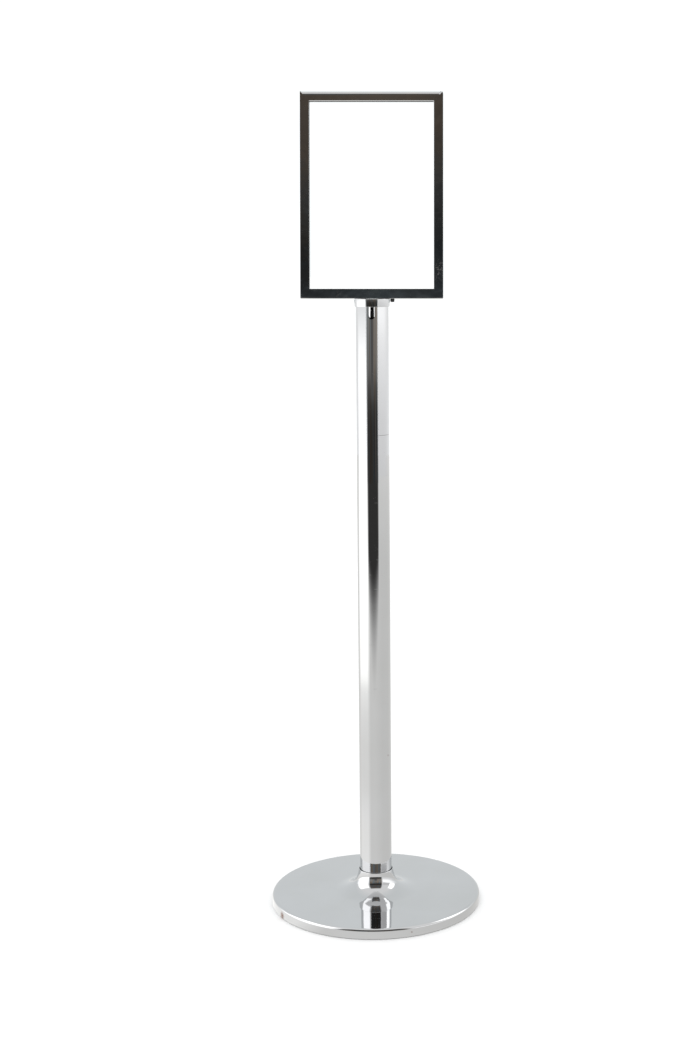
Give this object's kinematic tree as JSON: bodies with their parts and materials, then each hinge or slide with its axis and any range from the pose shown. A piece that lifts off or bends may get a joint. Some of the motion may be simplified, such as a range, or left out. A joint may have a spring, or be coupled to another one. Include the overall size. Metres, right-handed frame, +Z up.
{
  "type": "sign stand",
  "caption": "Free-standing sign stand: weighted round base, post with rope slots, and an open channel frame that swivels and tilts on the post's cap.",
  "frame": {"origin": "on the floor, at the centre of the round base, under the post", "axes": "+Z up the post; the front of the sign faces -Y; +X to the sign's right seen from the front"},
  "size_m": [0.334, 0.334, 1.2777],
  "materials": {
    "chrome_plate": "polished chrome plate with light handling wear",
    "cast_iron": "rough cast, painted dark grey",
    "dark_steel": "plain turned steel",
    "zinc_steel": "bright zinc plate",
    "floor_rubber": "matt black",
    "black_plastic": "moulded, fine texture",
    "nylon": "natural nylon"
  },
  "bodies": {
    "stand": {"base_cover": "chrome_plate", "base_weight": "cast_iron", "floor_ring": "floor_rubber", "neck_bush": "black_plastic", "post_socket": "cast_iron", "post_tube": "chrome_plate", "tie_rod": "dark_steel", "base_washer": "zinc_steel", "base_nut": "zinc_steel", "top_plug": "dark_steel", "top_washer": "zinc_steel", "top_nut": "zinc_steel", "swivel_washer": "nylon"},
    "cap": {"swivel_cap": "chrome_plate", "cap_set_screw": "dark_steel", "tilt_bolt": "zinc_steel", "tilt_washers": "nylon"},
    "sign_frame": {"tilt_bracket": "chrome_plate", "bracket_screws": "zinc_steel", "bottom_rail": "chrome_plate", "left_rail": "chrome_plate", "right_rail": "chrome_plate", "top_rail": "chrome_plate"},
    "knob": {"tilt_knob": "black_plastic"}
  },
  "joints": [
    {"name": "cap_swivel", "type": "hinge", "parent": "stand", "child": "cap", "pos_m": [0, 0, 0.95], "axis": [0, 0, 1], "continuous": true},
    {"name": "frame_tilt", "type": "hinge", "parent": "cap", "child": "sign_frame", "pos_m": [0, 0.0135, 0.9681], "axis": [-1, 0, 0], "range_deg": [-1, 73]},
    {"name": "knob_turn", "type": "hinge", "parent": "cap", "child": "knob", "pos_m": [0.03, 0.0135, 0.9681], "axis": [1, 0, 0], "range_deg": [-15, 180]}
  ]
}
